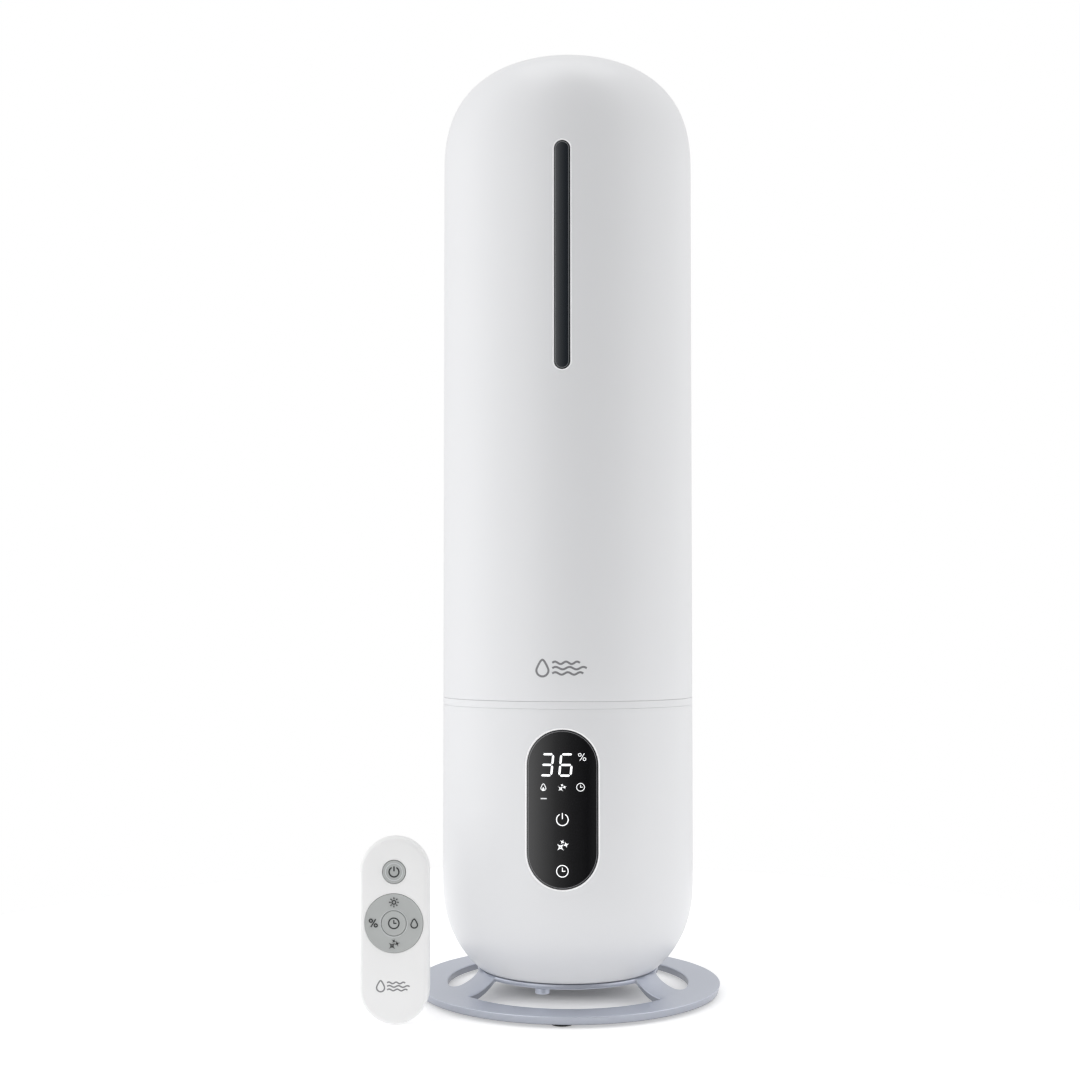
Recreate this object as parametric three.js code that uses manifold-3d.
// A tower-shaped ultrasonic cool mist humidifier on its ring stand, with its hand remote beside it.
// Millimetres, +Z up, front towards -Y. The origin is on the floor, at the centre of the footprint
// of the tower and the remote together, so the tower's axis stands a little to the right of it.

import * as THREE from 'three';
import { mergeVertices } from 'three/addons/utils/BufferGeometryUtils.js';
import Module from 'manifold-3d';

const wasm = await Module();
wasm.setup();

// ---------------------------------------------------------------- driving dimensions
const FIT = 0.3; // gap between two pieces that touch or fit together
const ROUND = 32; // sides of the large shells
const SMALL = 16; // sides of the small turned pieces

const BODY_R = 75; // outer radius of the tower
const WALL = 2.4; // wall of the moulded shells
const BODY_IN = BODY_R - WALL;

// Stand
const FOOT = { radius: 6.3, height: 1.3, count: 5 };
const RING = { outer: 91, inner: 72, bottom: 1.6, top: 6 };
const HUB = { outer: 54, inner: 43, bottom: 12, top: 14.7 };
const THREE_WAYS = 3; // arms, and the screws of every ring of screws
const ARM_START = 60; // degrees from the front to the first arm
const THUMB = { circle: 48.5, start: -15, head: 4.3, drop: 3.2, shank: 1.9, tip: 22 };

// Base
const BASE_BOTTOM = 15;
const FLANGE_TOP = 18.5; // top of the base shell's inward flange
const CURVE = { z: 67.4, drop: 68.2, power: 2.3 }; // rounded bottom of the base
const PLATE = { radius: 44, top: 17.5 };
const LUG_START = 60; // degrees from the front to the first lug of the plate and of the basin
const PLATE_SCREW = { circle: 39.5, head: 2.8, shank: 1.1, tip: 22, lugTop: 24 };
const BASIN_SCREW = { circle: 64, head: 3, shank: 1, tip: 155, lugBottom: 145.2, lugTop: 148.5 };
const SEAM_LOW = 171.4; // top edge of the base shell
const SEAM_HIGH = 175.6; // bottom edge of the tank

// Front panel and what is behind it
const PANEL = { width: 40.4, height: 88.4, z: 115.9, inner: 72 };
const BOARD_T = 1.6; // thickness of the circuit boards
const CONTROL = { halfWidth: 28, y: -60.7, bottom: 66, top: 159, postX: 25, postInset: 8 };
const DRIVER = { x: -48, halfWidth: 28, bottom: 58, top: 122 };
const JACK = { z: 80, nose: 5.3, bore: 3.2, pin: 1.05, half: 7, back: 58, shoulder: 71.5, front: 74.6 };

// Basin, with everything that stands in the water
const BASIN = { outer: 72, inner: 70, under: 161, floor: 163.5, lip: 181 };
const CHAMBER = { inner: 15.5, outer: 17.5, top: 190 };
const CHIMNEY = { halfX: 14, halfY: 9, wall: 2, y: 45, top: 188 };
const SOCKET = { inner: 14.3, outer: 16.3, depth: 4.1 };
const FLOAT = { x: 42, outer: 11, bore: 3.3, bottom: 166, top: 175, travel: 8, post: 2.5 };
const VALVE = { x: -43.5, stem: 3, travel: 4, post: 3, postTop: 177.2 };

// Fan
const FAN = { side: 60, bottom: 26, top: 41, bore: 28.5, hub: 11, pin: 25 };

// Tank
const DOME = { z: 492.7, rise: 65, power: 2.6 };
const WELL = { radius: 22.5, floor: 545, hole: 12 }; // recess in the dome that holds the nozzle
const WINDOW = { width: 9.2, height: 129.4, z: 425.9 };
const TANK_FLOOR = { bottom: 200, top: 202.5, radius: 72.2 };
const NECK = { inner: 17.5, outer: 20, bottom: 188 };
const CAP = { outer: 23, inner: 20.4, bottom: 183.5, face: 186, top: 198, bar: 204 };
const TUBE = { inner: 11.7, outer: 13.5, bottom: 178 };

// Remote, standing on its end
const REMOTE = { x: -91.5, y: -89.5, width: 38, height: 102, depth: 11, wall: 1.4, edge: 2, split: 6.2 };
const POWER_KEY = { radius: 6.35, z: 83.1 };
const PAD = { inner: 7, outer: 16.05, back: 1.9, z: 55.2 };
const CUSHION = { inner: 8, outer: 12.5, front: 2.5, back: 3.1, rib: 1.2, ribFront: 2.1, ribBack: 3.5 };
const TIMER_KEY_R = 6.6;
const KEY = { front: -0.4, back: 2.2 };
const DOOR = { radius: 12, z: 27 };

// The remote's outer edge and the ring's far edge set the middle of the footprint.
const TOWER_X = (REMOTE.width / 2 - REMOTE.x - RING.outer) / 2;

// ---------------------------------------------------------------- materials
const paint = (color, roughness, metalness = 0) =>
  new THREE.MeshStandardMaterial({ color, roughness, metalness });

const WHITE_SHELL = paint(0xe9eaec, 0.42);
const BASIN_WHITE = paint(0xdfe1e3, 0.5);
const SILVER = paint(0xb4b7c2, 0.35, 0.6);
const RUBBER = paint(0x2b2c2e, 0.85);
const PANEL_BLACK = paint(0x131415, 0.08);
const SMOKE = paint(0x2c2f33, 0.12);
const SILICONE = paint(0xc9ccce, 0.7);
const STEEL = paint(0x9a9da1, 0.3, 1);
const ALUMINIUM = paint(0xb9bcc0, 0.35, 1);
const CERAMIC = paint(0xd8cfae, 0.4);
const CIRCUIT = paint(0x1f5a3a, 0.55);
const BLACK_PLASTIC = paint(0x1c1d1f, 0.5);
const FLOAT_BLUE = paint(0x9fb9cf, 0.55);
const REMOTE_WHITE = paint(0xe6e6e6, 0.45);
const KEY_GREY = paint(0xaeb1af, 0.6);

// ---------------------------------------------------------------- shape helpers
const { degToRad } = THREE.MathUtils;

/** A closed geometry as a solid that can be cut and joined. */
function solid(shape) {
  if (shape instanceof wasm.Manifold) return shape;
  const bare = shape.clone();
  bare.deleteAttribute('normal');
  bare.deleteAttribute('uv');
  const merged = mergeVertices(bare, 1e-4);
  const corners = merged.index.array;
  const triVerts = [];
  for (let i = 0; i < corners.length; i += 3) {
    const [a, b, c] = corners.slice(i, i + 3);
    if (a !== b && b !== c && c !== a) triVerts.push(a, b, c);
  }
  return new wasm.Manifold(
    new wasm.Mesh({
      numProp: 3,
      vertProperties: merged.attributes.position.array,
      triVerts: new Uint32Array(triVerts),
    }),
  );
}

const join = (first, ...others) => others.reduce((sum, shape) => sum.add(solid(shape)), solid(first));
const cut = (body, ...tools) => tools.reduce((rest, shape) => rest.subtract(solid(shape)), solid(body));
const common = (a, b) => solid(a).intersect(solid(b));

/** A named mesh made from a geometry or a solid. */
function piece(name, shape, material) {
  const { vertProperties, triVerts } = solid(shape).getMesh();
  const geometry = new THREE.BufferGeometry()
    .setAttribute('position', new THREE.BufferAttribute(vertProperties, 3))
    .setIndex(new THREE.BufferAttribute(triVerts, 1));
  geometry.computeVertexNormals();
  const mesh = new THREE.Mesh(geometry, material);
  mesh.name = name;
  return mesh;
}

/** The same mesh, moved. */
function at(x, y, z, mesh) {
  mesh.position.set(x, y, z);
  return mesh;
}

/** Turns an outline of [radius, height] points about Z: closed, or from the axis back to it. */
function revolve(outline, sides = SMALL) {
  const area = outline.reduce((sum, [r, z], i) => {
    const [nextR, nextZ] = outline[(i + 1) % outline.length];
    return sum + r * nextZ - nextR * z;
  }, 0);
  const ordered = area > 0 ? [...outline] : [...outline].reverse();
  if (ordered[0][0] > 0) ordered.push(ordered[0]);
  const points = ordered.map(([r, z]) => new THREE.Vector2(r, z));
  return new THREE.LatheGeometry(points, sides).rotateX(Math.PI / 2);
}

const tube = (inner, outer, z0, z1, sides) =>
  revolve([[inner, z0], [outer, z0], [outer, z1], [inner, z1]], sides);

const rod = (radius, z0, z1, sides = SMALL) =>
  new THREE.CylinderGeometry(radius, radius, z1 - z0, sides)
    .rotateX(Math.PI / 2)
    .translate(0, 0, (z0 + z1) / 2);

/** A rod along Y, from y0 to y1. */
const crossRod = (radius, y0, y1, sides = SMALL) =>
  new THREE.CylinderGeometry(radius, radius, y1 - y0, sides).translate(0, (y0 + y1) / 2, 0);

/** A ring whose axis lies along Y, from y0 to y1. */
const crossRing = (inner, outer, y0, y1, sides = SMALL) =>
  cut(crossRod(outer, y0, y1, sides), crossRod(inner, y0 - 1, y1 + 1, sides));

const block = (x0, x1, y0, y1, z0, z1) =>
  new THREE.BoxGeometry(x1 - x0, y1 - y0, z1 - z0)
    .translate((x0 + x1) / 2, (y0 + y1) / 2, (z0 + z1) / 2);

/** Copies of one shape, evenly spaced about Z, the first one turned by start degrees. */
const around = (count, start, make) =>
  Array.from({ length: count }, (_, i) => make().rotateZ(degToRad(start + (360 * i) / count)));

/** Numbered pieces from a list of shapes. */
const numbered = (name, shapes, material) =>
  shapes.map((shape, i) => piece(`${name}_${i + 1}`, shape, material));

/** Points of a superellipse quarter, from the angle `from` to the angle `to` (0 = side, 90 = crown). */
function crown(radius, rise, power, z, from, to, steps) {
  return Array.from({ length: steps + 1 }, (_, i) => {
    const a = degToRad(from + ((to - from) * i) / steps);
    return [radius * Math.cos(a) ** (2 / power), z + rise * Math.sin(a) ** (2 / power)];
  });
}

/** The angle at which a superellipse quarter has risen by a share of its full rise. */
const angleAtRise = (share, power) => THREE.MathUtils.radToDeg(Math.asin(share ** (power / 2)));

/** The angle at which a superellipse quarter has drawn in to a share of its full radius. */
const angleAtRadius = (share, power) => THREE.MathUtils.radToDeg(Math.acos(share ** (power / 2)));

/** Height of the dome's surface at a radius. */
const domeHeight = (r) => DOME.z + DOME.rise * (1 - (r / BODY_R) ** DOME.power) ** (1 / DOME.power);

/** An upright pill in the XZ plane, z from 0 to height, as a prism from yFront to yBack. */
function pill(width, height, yFront, yBack, edge = 0) {
  const r = width / 2 - edge;
  const outline = new THREE.Shape();
  outline.absarc(0, height - edge - r, r, 0, Math.PI);
  outline.absarc(0, edge + r, r, Math.PI, 2 * Math.PI);
  return new THREE.ExtrudeGeometry(outline, {
    depth: yBack - yFront - 2 * edge,
    bevelEnabled: edge > 0,
    bevelSize: edge,
    bevelThickness: edge,
    bevelSegments: 2,
    curveSegments: 8,
  })
    .rotateX(Math.PI / 2)
    .translate(0, yBack - edge, 0);
}

/** A pill-shaped tool for cutting or filling the tower's wall, centred on height z. */
const wallPill = ({ width, height, z }, spare) =>
  pill(width + 2 * spare, height + 2 * spare, -80, -60).translate(0, 0, z - height / 2 - spare);

/** A round bar of the given radius along a smooth path through the points. */
function bar(points, radius, steps) {
  const path = new THREE.CatmullRomCurve3(points.map(([x, y, z]) => new THREE.Vector3(x, y, z)));
  const section = new THREE.Shape().absarc(0, 0, radius, 0, 2 * Math.PI);
  return new THREE.ExtrudeGeometry(section, {
    steps,
    extrudePath: path,
    curveSegments: 3,
    bevelEnabled: false,
  });
}

/** A screw that points up, its head below z = seat. */
const screw = (head, headHeight, shank, seat, tip) =>
  revolve([[0, seat - headHeight], [head, seat - headHeight], [head, seat],
    [shank, seat], [shank, tip], [0, tip]], 10);

// ---------------------------------------------------------------- stand

/** One arm along -Y: it sweeps down from the hub and flares into the ring. */
function standArm() {
  const [start, end, steps] = [HUB.outer - 8, RING.inner + 4, 8];
  const [slopeStart, slopeEnd] = [HUB.outer - 3, RING.inner];
  const fall = (r) => {
    const share = THREE.MathUtils.clamp((r - slopeStart) / (slopeEnd - slopeStart), 0, 1);
    return (1 - share) ** 2;
  };
  const radii = Array.from({ length: steps + 1 }, (_, i) => start + ((end - start) * i) / steps);
  const top = radii.map((r) => [r, RING.top + (HUB.top - RING.top) * fall(r)]);
  const under = radii.map((r) => [r, RING.bottom + 0.6 + (HUB.bottom - RING.bottom - 0.6) * fall(r)]);
  const outline = new THREE.Shape([...under, ...top.reverse()].map(([r, z]) => new THREE.Vector2(r, z)));
  const arm = new THREE.ExtrudeGeometry(outline, { depth: 2, bevelEnabled: false });
  const place = arm.attributes.position;
  for (let i = 0; i < place.count; i++) {
    const [r, z, side] = [place.getX(i), place.getY(i), place.getZ(i) - 1];
    const share = Math.max(0, (r - HUB.outer) / (RING.inner - HUB.outer));
    const halfWidth = 10.6 + 1.2 * share + 2.2 * share ** 5;
    place.setXYZ(i, -halfWidth * side, -r, z);
  }
  return arm;
}

function stand() {
  const ring = revolve([[RING.inner, RING.bottom], [RING.outer - 0.8, RING.bottom],
    [RING.outer, RING.bottom + 0.8], [RING.outer, RING.top - 1], [RING.outer - 1, RING.top],
    [RING.inner + 0.6, RING.top], [RING.inner, RING.top - 0.6]], ROUND);
  const hub = revolve([[HUB.inner, HUB.bottom], [HUB.outer - 0.8, HUB.bottom], [HUB.outer, HUB.bottom + 0.8],
    [HUB.outer, HUB.top], [HUB.inner, HUB.top]], ROUND);
  const arms = around(THREE_WAYS, ARM_START, standArm);
  const screwHoles = around(THREE_WAYS, THUMB.start, () =>
    rod(THUMB.shank + FIT, HUB.bottom - 1, HUB.top + 1, 10).translate(0, -THUMB.circle, 0));
  const feet = around(FOOT.count, 0, () =>
    rod(FOOT.radius, 0, FOOT.height, 16).translate(0, -(RING.outer + RING.inner) / 2, 0));
  const screws = around(THREE_WAYS, THUMB.start, () =>
    screw(THUMB.head, THUMB.drop, THUMB.shank, HUB.bottom - FIT, THUMB.tip).translate(0, -THUMB.circle, 0));
  return [
    piece('stand_ring', cut(join(ring, hub, ...arms), ...screwHoles), SILVER),
    ...numbered('stand_foot', feet, RUBBER),
    ...numbered('stand_screw', screws, SILVER),
  ];
}

// ---------------------------------------------------------------- base shell and bottom plate

function baseShell() {
  const drop = CURVE.drop - WALL;
  const outFrom = angleAtRise((CURVE.z - BASE_BOTTOM) / CURVE.drop, CURVE.power);
  const inFrom = angleAtRise((CURVE.z - FLANGE_TOP) / drop, CURVE.power);
  const outside = crown(BODY_R, -CURVE.drop, CURVE.power, CURVE.z, outFrom, 0, 7);
  const inside = crown(BODY_IN, -drop, CURVE.power, CURVE.z, 0, inFrom, 6);
  const shell = revolve([[PLATE.radius + FIT, BASE_BOTTOM], ...outside, [BODY_R, SEAM_LOW],
    [BODY_IN, SEAM_LOW], ...inside, [PLATE.radius + FIT, FLANGE_TOP]], ROUND);
  const plateLugs = around(THREE_WAYS, LUG_START, () =>
    block(-5, 5, -51, -36, PLATE.top + FIT, PLATE_SCREW.lugTop));
  const basinLugs = around(THREE_WAYS, LUG_START, () =>
    block(-5, 5, 1 - BODY_R, -58, BASIN_SCREW.lugBottom, BASIN_SCREW.lugTop));
  const driverPosts = [[-20, 68], [20, 112]].map(([y, z]) =>
    new THREE.CylinderGeometry(2.5, 3.2, 22, 12).rotateZ(-Math.PI / 2)
      .translate(DRIVER.x - BOARD_T / 2 - FIT - 11, y, z));
  const controlPosts = [CONTROL.bottom, CONTROL.top - 2 * CONTROL.postInset].flatMap((z) =>
    [-CONTROL.postX, CONTROL.postX].map((x) =>
      crossRod(2.4, -69, CONTROL.y - FIT, 12).translate(x, 0, z + CONTROL.postInset)));
  const holes = [
    ...around(THREE_WAYS, LUG_START, () =>
      rod(PLATE_SCREW.shank + FIT, 10, 30, 10).translate(0, -PLATE_SCREW.circle, 0)),
    ...around(THREE_WAYS, LUG_START, () =>
      rod(BASIN_SCREW.shank + FIT, 140, 150, 10).translate(0, -BASIN_SCREW.circle, 0)),
    ...around(THREE_WAYS, THUMB.start, () =>
      rod(THUMB.shank + FIT, 10, 25, 10).translate(0, -THUMB.circle, 0)),
    wallPill(PANEL, FIT),
    crossRod(JACK.nose + FIT, 60, 80).translate(0, 0, JACK.z),
  ];
  const whole = join(shell, ...plateLugs, ...basinLugs, ...driverPosts, ...controlPosts);
  return piece('base_shell', cut(whole, ...holes), WHITE_SHELL);
}

function bottomPlate() {
  const disc = rod(PLATE.radius, BASE_BOTTOM, PLATE.top, ROUND);
  const corner = FAN.pin * Math.SQRT2;
  const posts = around(4, 45, () => rod(3.5, PLATE.top - 1, FAN.bottom - FIT, 10).translate(0, -corner, 0));
  const pins = around(4, 45, () => rod(1.6, PLATE.top, FAN.top + 1.5, 10).translate(0, -corner, 0));
  const slots = around(12, 15, () => block(-1.5, 1.5, -31, -13, 10, 20));
  const screwHoles = around(THREE_WAYS, LUG_START, () =>
    rod(PLATE_SCREW.shank + FIT, 10, 20, 10).translate(0, -PLATE_SCREW.circle, 0));
  return piece('bottom_plate', cut(join(disc, ...posts, ...pins), ...slots, ...screwHoles), WHITE_SHELL);
}

function baseScrews() {
  const plate = around(THREE_WAYS, LUG_START, () =>
    screw(PLATE_SCREW.head, 1.5, PLATE_SCREW.shank, BASE_BOTTOM - FIT, PLATE_SCREW.tip)
      .translate(0, -PLATE_SCREW.circle, 0));
  const basin = around(THREE_WAYS, LUG_START, () =>
    screw(BASIN_SCREW.head, 1.8, BASIN_SCREW.shank, BASIN_SCREW.lugBottom - FIT, BASIN_SCREW.tip)
      .translate(0, -BASIN_SCREW.circle, 0));
  return [...numbered('plate_screw', plate, STEEL), ...numbered('basin_screw', basin, STEEL)];
}

// ---------------------------------------------------------------- water basin

function waterBasin() {
  const bowl = revolve([[0, BASIN.under], [BASIN.outer, BASIN.under], [BASIN.outer, SEAM_LOW + FIT],
    [BODY_R, SEAM_LOW + FIT], [BODY_R, SEAM_HIGH - FIT], [BASIN.outer, SEAM_HIGH - FIT],
    [BASIN.outer, BASIN.lip], [BASIN.inner, BASIN.lip], [BASIN.inner, BASIN.floor], [0, BASIN.floor]], ROUND);
  const { halfX, halfY, wall, y } = CHIMNEY;
  const [sideX, near, far] = [halfX + wall, y - halfY - wall, y + halfY + wall];
  const chimney = block(-sideX, sideX, near, far, BASIN.under, CHIMNEY.top);
  const bosses = around(THREE_WAYS, LUG_START, () =>
    rod(4, BASIN_SCREW.lugTop + FIT, BASIN.under + 1, 12).translate(0, -BASIN_SCREW.circle, 0));
  const parts = [
    chimney,
    ...bosses,
    tube(CHAMBER.inner, CHAMBER.outer, BASIN.under + 1, CHAMBER.top),
    tube(SOCKET.inner, SOCKET.outer, BASIN.under - SOCKET.depth, BASIN.under + 1),
    rod(FLOAT.post, BASIN.under + 1, FLOAT.top + FLOAT.travel + 2, 12).translate(FLOAT.x, 0, 0),
    rod(VALVE.post, BASIN.under + 1, VALVE.postTop, 12).translate(VALVE.x, 0, 0),
  ];
  const holes = [
    rod(8.5, BASIN.under - 1, BASIN.floor + 1),
    block(-halfX, halfX, y - halfY, y + halfY, BASIN.under - 1, CHIMNEY.top + 1),
    block(-CHAMBER.outer - 1, CHAMBER.outer + 1, -3, 3, BASIN.floor + 0.2, BASIN.floor + 5),
    ...around(THREE_WAYS, LUG_START, () =>
      rod(BASIN_SCREW.shank + FIT, 145, BASIN_SCREW.tip + 1, 10).translate(0, -BASIN_SCREW.circle, 0)),
  ];
  return piece('water_basin', cut(join(bowl, ...parts), ...holes), BASIN_WHITE);
}

/** The ultrasonic disc in its grooved seal, held up by a ring nut on the basin's socket. */
function transducer() {
  const bottom = BASIN.under - SOCKET.depth;
  const [top, lip, outer] = [BASIN.under - FIT, 8.5, SOCKET.inner - FIT];
  const disc = { radius: 10, bottom: bottom + 1.2, top: bottom + 2.2 };
  const seal = revolve([[lip, bottom], [outer, bottom], [outer, top], [lip, top],
    [lip, disc.top + FIT], [disc.radius + FIT, disc.top + FIT],
    [disc.radius + FIT, disc.bottom - FIT], [lip, disc.bottom - FIT]]);
  const nut = { face: bottom - FIT, base: bottom - 2.9, top: top - 0.6, outer: 18.8 };
  const ring = revolve([[9, nut.base], [nut.outer, nut.base], [nut.outer, nut.top],
    [SOCKET.outer + FIT, nut.top], [SOCKET.outer + FIT, nut.face], [9, nut.face]]);
  return [
    piece('transducer_disc', rod(disc.radius, disc.bottom, disc.top), CERAMIC),
    piece('transducer_seal', seal, SILICONE),
    piece('transducer_clamp', ring, BLACK_PLASTIC),
  ];
}

/** The float that stops the machine when the basin is empty, with its magnet, stop and switch. */
function floatParts() {
  const { x, outer, bore, bottom, top, travel } = FLOAT;
  const magnet = { inner: 5, outer: 8, height: 2.2 };
  const pocket = tube(magnet.inner - FIT, magnet.outer + FIT, bottom - 1, bottom + magnet.height + 2 * FIT);
  const stop = top + travel + FIT;
  const magnetRing = tube(magnet.inner, magnet.outer, bottom + FIT, bottom + FIT + magnet.height);
  const keeper = tube(FLOAT.post + FIT, 6, stop, stop + 1.4, 12);
  return [
    at(x, 0, 0, piece('float', cut(tube(bore, outer, bottom, top), pocket), FLOAT_BLUE)),
    at(x, 0, 0, piece('float_magnet', magnetRing, STEEL)),
    at(x, 0, 0, piece('float_keeper', keeper, BLACK_PLASTIC)),
    piece('reed_switch', block(x - 7, x + 7, -2.5, 2.5, BASIN.under - 4.3, BASIN.under - FIT), BLACK_PLASTIC),
  ];
}

// ---------------------------------------------------------------- air path

function fanFrame() {
  const half = FAN.side / 2;
  const box = block(-half, half, -half, half, FAN.bottom, FAN.top);
  const bore = rod(FAN.bore, FAN.bottom - 1, FAN.top + 1, 32);
  const pinHoles = around(4, 45, () =>
    rod(1.6 + FIT, FAN.bottom - 1, FAN.top + 1, 10).translate(0, -FAN.pin * Math.SQRT2, 0));
  const spokes = around(4, 0, () => block(-1.5, 1.5, -FAN.bore - 0.5, 0, FAN.bottom, FAN.bottom + 2));
  const seat = rod(FAN.hub + 1, FAN.bottom, FAN.bottom + 2);
  return piece('fan_frame', join(cut(box, bore, ...pinHoles), seat, ...spokes), BLACK_PLASTIC);
}

function fanRotor() {
  const [bottom, top] = [FAN.bottom + 2.4, FAN.top - 1.5];
  const blades = around(7, 0, () =>
    new THREE.BoxGeometry(1.4, 16.5, 11).rotateY(degToRad(35)).translate(0, -19, (bottom + top) / 2));
  return piece('fan_rotor', join(rod(FAN.hub, bottom, top), ...blades), BLACK_PLASTIC);
}

/** A box over the fan that turns into the chimney behind the mist chamber. */
function airDuct() {
  const { halfX, halfY, wall, y } = CHIMNEY;
  const half = FAN.side / 2;
  const [foot, roof, top] = [FAN.top + FIT, 60, BASIN.under - FIT];
  const [near, far] = [y - halfY, y + halfY];
  const outside = join(
    block(-half, half, -half, half, foot, roof),
    block(-halfX - wall, halfX + wall, half - 2, far + wall, foot, roof),
    block(-halfX - wall, halfX + wall, near - wall, far + wall, roof - 1, top),
  );
  const inside = join(
    block(wall - half, half - wall, wall - half, half - wall, foot - 1, roof - wall),
    block(-halfX, halfX, 20, far, foot + wall, roof - wall),
    block(-halfX, halfX, near, far, roof - 3, top + 1),
  );
  return piece('air_duct', outside.subtract(inside), BLACK_PLASTIC);
}

// ---------------------------------------------------------------- electrics

function driverParts() {
  const { x, halfWidth, bottom, top } = DRIVER;
  const face = x + BOARD_T / 2;
  const sink = { depth: 13, halfWidth: 14, bottom: 72, top: 106, base: 3 };
  const fins = [-10.5, -3.5, 3.5, 10.5].map((y) =>
    block(face + FIT + sink.base, face + sink.depth + 1, y - 2, y + 2, sink.bottom - 1, sink.top + 1));
  const slab = block(face + FIT, face + sink.depth, -sink.halfWidth, sink.halfWidth, sink.bottom, sink.top);
  return [
    piece('driver_board', block(x - BOARD_T / 2, face, -halfWidth, halfWidth, bottom, top), CIRCUIT),
    piece('heat_sink', cut(slab, ...fins), ALUMINIUM),
  ];
}

/** The touch panel in the base's wall, with its display, sensor strip, receiver and board. */
function frontPanel() {
  const { halfWidth, y, bottom, top } = CONTROL;
  const skin = tube(PANEL.inner, BODY_R, BASE_BOTTOM, SEAM_LOW, ROUND);
  const keys = { bottom: 78, top: 115, halfWidth: 5 };
  const strip = tube(PANEL.inner - 1.8, PANEL.inner - 0.6, keys.bottom, keys.top, ROUND);
  const keyStrip = block(-keys.halfWidth, keys.halfWidth, -BODY_R, y, keys.bottom, keys.top);
  return [
    piece('display_panel', common(wallPill(PANEL, 0), skin), PANEL_BLACK),
    piece('display_module', block(-16, 16, -69, y - FIT, 120, 151), BLACK_PLASTIC),
    piece('touch_sensor', common(strip, keyStrip), CIRCUIT),
    piece('ir_receiver', block(-3.5, 3.5, -68.6, y - FIT, 152.5, 157.5), BLACK_PLASTIC),
    piece('control_board', block(-halfWidth, halfWidth, y, y + BOARD_T, bottom, top), CIRCUIT),
  ];
}

/** The low-voltage inlet at the back, and its lead to the driver board. */
function powerInlet() {
  const { half, back, shoulder, front } = JACK;
  const body = join(block(-half, half, back, shoulder, JACK.z - half, JACK.z + half),
    crossRod(JACK.nose, shoulder - 1, front).translate(0, 0, JACK.z));
  const bore = crossRod(JACK.bore, back + 4, front + 1).translate(0, 0, JACK.z);
  const pin = crossRod(JACK.pin, back + 3, front - 1.6, 8).translate(0, 0, JACK.z);
  const lead = bar([[-8.9, 65, 80], [-20, 62, 82], [-37, 49, 86], [-43, 34, 88], [-45, 25, 89]], 1.5, 12);
  return [
    piece('dc_jack', join(cut(body, bore), pin), BLACK_PLASTIC),
    piece('power_lead', lead, RUBBER),
  ];
}

// ---------------------------------------------------------------- tank

function tankShell() {
  const wellOut = WELL.radius + WALL;
  const ceiling = WELL.floor - WALL;
  const outside = crown(BODY_R, DOME.rise, DOME.power, DOME.z, 0,
    angleAtRadius(WELL.radius / BODY_R, DOME.power), 8);
  const inside = crown(BODY_IN, DOME.rise - WALL, DOME.power, DOME.z,
    angleAtRadius(wellOut / BODY_IN, DOME.power), 0, 6);
  const socket = { inner: TUBE.outer + FIT, outer: TUBE.outer + FIT + 2, bottom: ceiling - 6.5 };
  const shell = revolve([[BODY_R, SEAM_HIGH], ...outside, [WELL.radius, WELL.floor], [WELL.hole, WELL.floor],
    [WELL.hole, ceiling], [socket.inner, ceiling], [socket.inner, socket.bottom],
    [socket.outer, socket.bottom], [socket.outer, ceiling], [wellOut, ceiling],
    ...inside, [BODY_IN, SEAM_HIGH]], ROUND);
  return piece('tank_shell', cut(shell, wallPill(WINDOW, FIT)), WHITE_SHELL);
}

function levelWindow() {
  const skin = tube(BODY_IN - 0.6, BODY_R, SEAM_HIGH, DOME.z, ROUND);
  return piece('level_window', common(wallPill(WINDOW, 0), skin), SMOKE);
}

function tankFloor() {
  const gasketR = TUBE.outer + FIT + 2.2;
  const disc = revolve([[gasketR, TANK_FLOOR.bottom], [TANK_FLOOR.radius, TANK_FLOOR.bottom],
    [TANK_FLOOR.radius, TANK_FLOOR.top + 8], [TANK_FLOOR.radius - 2, TANK_FLOOR.top + 8],
    [TANK_FLOOR.radius - 2, TANK_FLOOR.top], [gasketR, TANK_FLOOR.top]], ROUND);
  const neck = rod(NECK.outer, NECK.bottom, TANK_FLOOR.top, 24).translate(VALVE.x, 0, 0);
  const mouth = rod(NECK.inner, NECK.bottom - 1, TANK_FLOOR.top + 1, 24).translate(VALVE.x, 0, 0);
  return piece('tank_floor', cut(join(disc, neck), mouth), WHITE_SHELL);
}

function mistTube() {
  const [bottom, top] = [TANK_FLOOR.bottom - 1, TANK_FLOOR.top + 2];
  const gasket = tube(TUBE.outer + FIT, TUBE.outer + 2.2, bottom, top, ROUND);
  return [
    piece('mist_tube', tube(TUBE.inner, TUBE.outer, TUBE.bottom, WELL.floor - WALL - FIT), BASIN_WHITE),
    piece('tube_gasket', gasket, SILICONE),
  ];
}

/** The cap on the tank's neck, with a bridge that the valve spring pushes against. */
function tankCap() {
  const drain = 6;
  const cup = revolve([[drain, CAP.bottom], [CAP.outer, CAP.bottom], [CAP.outer, CAP.top],
    [CAP.inner, CAP.top], [CAP.inner, CAP.face], [drain, CAP.face]], 24);
  const [gripFront, gripBack] = [-CAP.outer - 1.2, -CAP.outer + 0.5];
  const grips = around(10, 0, () => block(-1.5, 1.5, gripFront, gripBack, CAP.bottom + 1, CAP.top - 1));
  const posts = [-12, 12].map((x) => rod(1.5, CAP.face - 1, CAP.bar + 1, 8).translate(x, 0, 0));
  const bridge = block(-13.5, 13.5, -2, 2, CAP.bar, CAP.bar + 2);
  const seal = tube(NECK.inner + 0.1, NECK.outer, CAP.face + FIT, NECK.bottom - FIT, 24);
  return [
    at(VALVE.x, 0, 0, piece('tank_cap', join(cup, ...grips, ...posts, bridge), WHITE_SHELL)),
    at(VALVE.x, 0, 0, piece('cap_seal', seal, SILICONE)),
  ];
}

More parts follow.
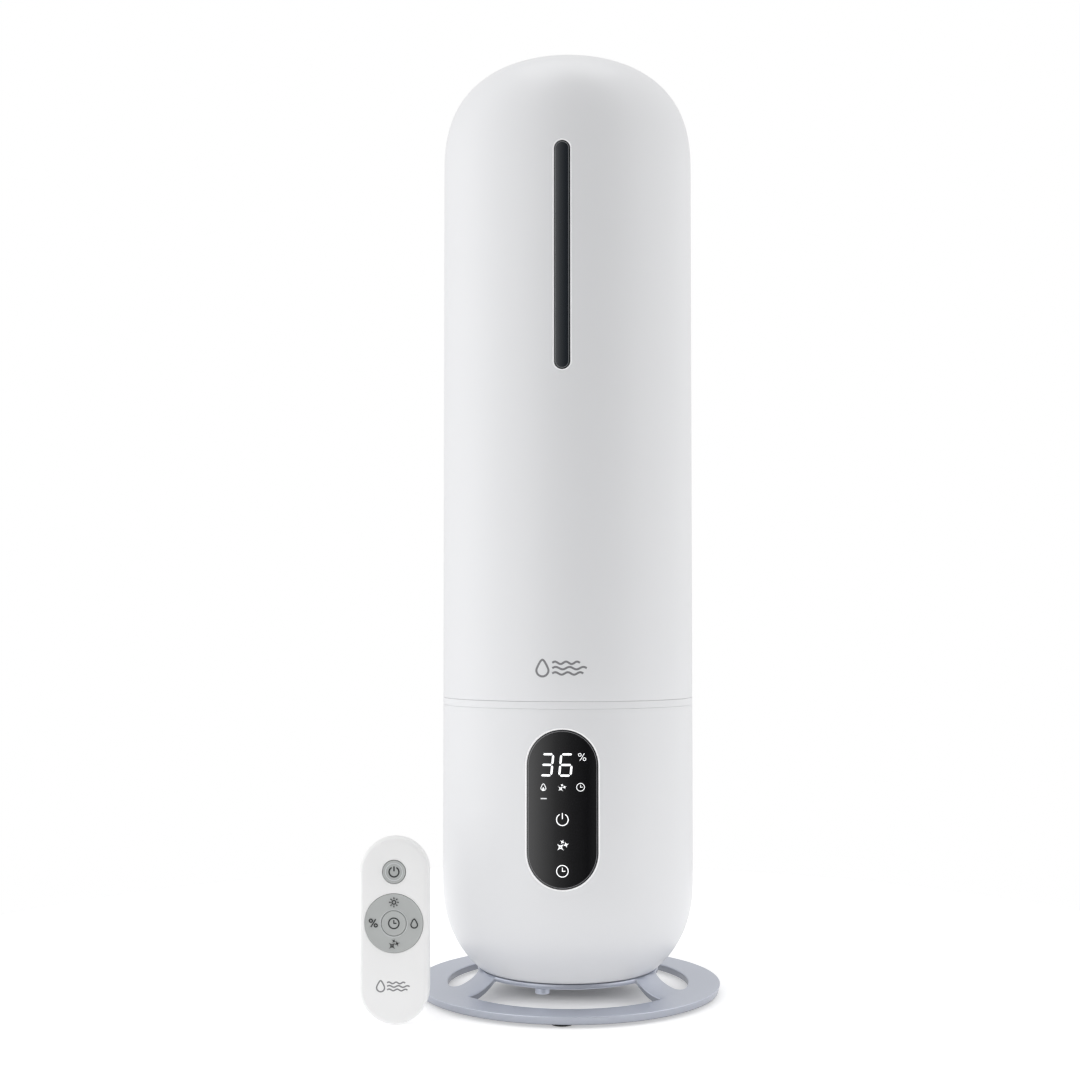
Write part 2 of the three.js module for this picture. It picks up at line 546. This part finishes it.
/** The water valve, held open by the basin's post while the tank is seated. */
function valve() {
  const sealBottom = CAP.face + FIT + VALVE.travel;
  const [sealTop, discBottom, discTop] = [sealBottom + 1.5, sealBottom + 1.8, sealBottom + 3.6];
  const plunger = revolve([[0, VALVE.postTop + FIT], [VALVE.stem - 0.6, VALVE.postTop + FIT],
    [VALVE.stem, VALVE.postTop + 1], [VALVE.stem, discBottom], [9, discBottom], [9, discTop],
    [VALVE.stem, discTop], [VALVE.stem, CAP.bar - 2], [0, CAP.bar - 2]]);
  const spring = { radius: 5, wire: 0.6, turns: 4, bottom: discTop + 1, top: CAP.bar - 1 };
  const coil = Array.from({ length: spring.turns * 8 + 1 }, (_, i) => {
    const angle = (i * Math.PI) / 4;
    const height = spring.bottom + ((spring.top - spring.bottom) * i) / (spring.turns * 8);
    return [spring.radius * Math.cos(angle), spring.radius * Math.sin(angle), height];
  });
  return [
    at(VALVE.x, 0, 0, piece('valve_plunger', plunger, BLACK_PLASTIC)),
    at(VALVE.x, 0, 0, piece('valve_seal', tube(VALVE.stem + FIT, 8.5, sealBottom, sealTop), SILICONE)),
    at(VALVE.x, 0, 0, piece('valve_spring', bar(coil, spring.wire, spring.turns * 10), STEEL)),
  ];
}

/** The turning mist outlet, level with the top of the dome. */
function mistNozzle() {
  const r = WELL.radius - FIT;
  const [under, floor] = [WELL.floor + FIT, WELL.floor + 2.3];
  const collar = { inner: 9.3, outer: 11.2, bottom: under - 7.5 };
  const slot = { halfLength: 7, radius: 4, y: -11, bottom: floor + 1, top: 560 };
  const roof = [1, 0.85, 0.65, 0.4, 0].map((share) => [r * share, domeHeight(r * share)]);
  const shell = revolve([[0, domeHeight(0) - WALL], [r - WALL, domeHeight(r) - WALL], [r - WALL, floor],
    [collar.inner, floor], [collar.inner, collar.bottom], [collar.outer, collar.bottom],
    [collar.outer, under], [r, under], ...roof], 24);
  const { halfLength, radius, y, bottom, top } = slot;
  const outlet = [
    block(-halfLength, halfLength, y - radius, y + radius, bottom, top),
    ...[-halfLength, halfLength].map((x) => rod(radius, bottom, top, 12).translate(x, y, 0)),
  ];
  return piece('mist_nozzle', cut(shell, ...outlet), WHITE_SHELL);
}

// ---------------------------------------------------------------- remote (its front face at y = 0)

function remoteShells() {
  const { width, height, depth, wall, edge, split } = REMOTE;
  const outside = solid(pill(width, height, 0, depth, edge));
  const hollow = pill(width - 2 * wall, height - 2 * wall, wall, depth - wall).translate(0, 0, wall);
  const shell = outside.subtract(solid(hollow));
  const frontHalf = block(-width, width, -1, split, -1, height + 1);
  const backHalf = block(-width, width, split + FIT, depth + 1, -1, height + 1);
  const holes = [
    crossRod(POWER_KEY.radius + FIT, -1, wall + 1, 24).translate(0, 0, POWER_KEY.z),
    crossRod(PAD.outer + 0.4, -1, wall + 1, 32).translate(0, 0, PAD.z),
    rod(1.9, height - 5, height + 1, 12).translate(0, 3.3, 0),
  ];
  const doorHole = crossRod(DOOR.radius + FIT, depth - 3, depth + 1, 32).translate(0, 0, DOOR.z);
  return [
    piece('remote_front_shell', cut(common(shell, frontHalf), ...holes), REMOTE_WHITE),
    piece('remote_back_shell', cut(common(shell, backHalf), doorHole), REMOTE_WHITE),
  ];
}

/** A ring with an upright rocking rib towards the pad and a level one towards the keypad. */
function padCushion() {
  const { inner, outer, front, back, rib, ribFront, ribBack } = CUSHION;
  const [half, near, far] = [rib / 2, inner + 0.5, outer - 0.5];
  const ring = solid(crossRing(inner, outer, front, back, 24));
  const ribs = [-1, 1].flatMap((side) => {
    const [low, high] = side > 0 ? [near, far] : [-far, -near];
    const upright = block(-half, half, ribFront, front + FIT, low, high);
    const level = block(low, high, back - FIT, ribBack, -half, half);
    return [upright, level];
  });
  return join(ring, ...ribs).translate([0, 0, PAD.z]);
}

function remoteKeys() {
  const key = (radius, z) => crossRod(radius, KEY.front, KEY.back, 32).translate(0, 0, z);
  const pad = crossRing(PAD.inner, PAD.outer, KEY.front, PAD.back, 32).translate([0, 0, PAD.z]);
  return [
    piece('remote_power_button', key(POWER_KEY.radius, POWER_KEY.z), KEY_GREY),
    piece('remote_timer_button', key(TIMER_KEY_R, PAD.z), KEY_GREY),
    piece('remote_dpad', pad, KEY_GREY),
    piece('remote_dpad_rubber', padCushion(), RUBBER),
  ];
}

function remoteInside() {
  const { width, height, depth, wall } = REMOTE;
  const margin = wall + 0.6;
  const sheet = (y0, y1) => pill(width - 2 * margin, height - 2 * margin, y0, y1).translate(0, 0, margin);
  const boardFront = 4.7;
  const cellFront = boardFront + BOARD_T + FIT;
  const coinSlot = block(-7, 7, depth - 0.7, depth + 1, DOOR.z - 0.9, DOOR.z + 0.9);
  const door = crossRod(DOOR.radius, depth - 1.6, depth, 32).translate(0, 0, DOOR.z);
  const ledRecess = block(-2.2, 2.2, 0, 6, height - 8, height);
  return [
    piece('remote_keypad', cut(sheet(3.7, boardFront - FIT), ledRecess), RUBBER),
    piece('remote_board', cut(sheet(boardFront, boardFront + BOARD_T), ledRecess), CIRCUIT),
    piece('remote_battery', crossRod(10, cellFront, cellFront + 2.5).translate(0, 0, DOOR.z), STEEL),
    piece('remote_battery_cover', cut(door, coinSlot), REMOTE_WHITE),
    piece('remote_ir_led', rod(1.6, height - 6, height - 0.4, 12).translate(0, 3.3, 0), SMOKE),
  ];
}

// ---------------------------------------------------------------- the whole object
const tower = new THREE.Group();
tower.position.set(TOWER_X, 0, 0);
tower.add(
  ...stand(),
  baseShell(),
  bottomPlate(),
  ...baseScrews(),
  waterBasin(),
  ...transducer(),
  ...floatParts(),
  fanFrame(),
  fanRotor(),
  airDuct(),
  ...driverParts(),
  ...frontPanel(),
  ...powerInlet(),
  tankShell(),
  levelWindow(),
  tankFloor(),
  ...mistTube(),
  ...tankCap(),
  ...valve(),
  mistNozzle(),
);

const remote = new THREE.Group();
remote.position.set(TOWER_X + REMOTE.x, REMOTE.y, 0);
remote.add(...remoteShells(), ...remoteKeys(), ...remoteInside());

const humidifier = new THREE.Group();
humidifier.add(tower, remote);

export default humidifier;
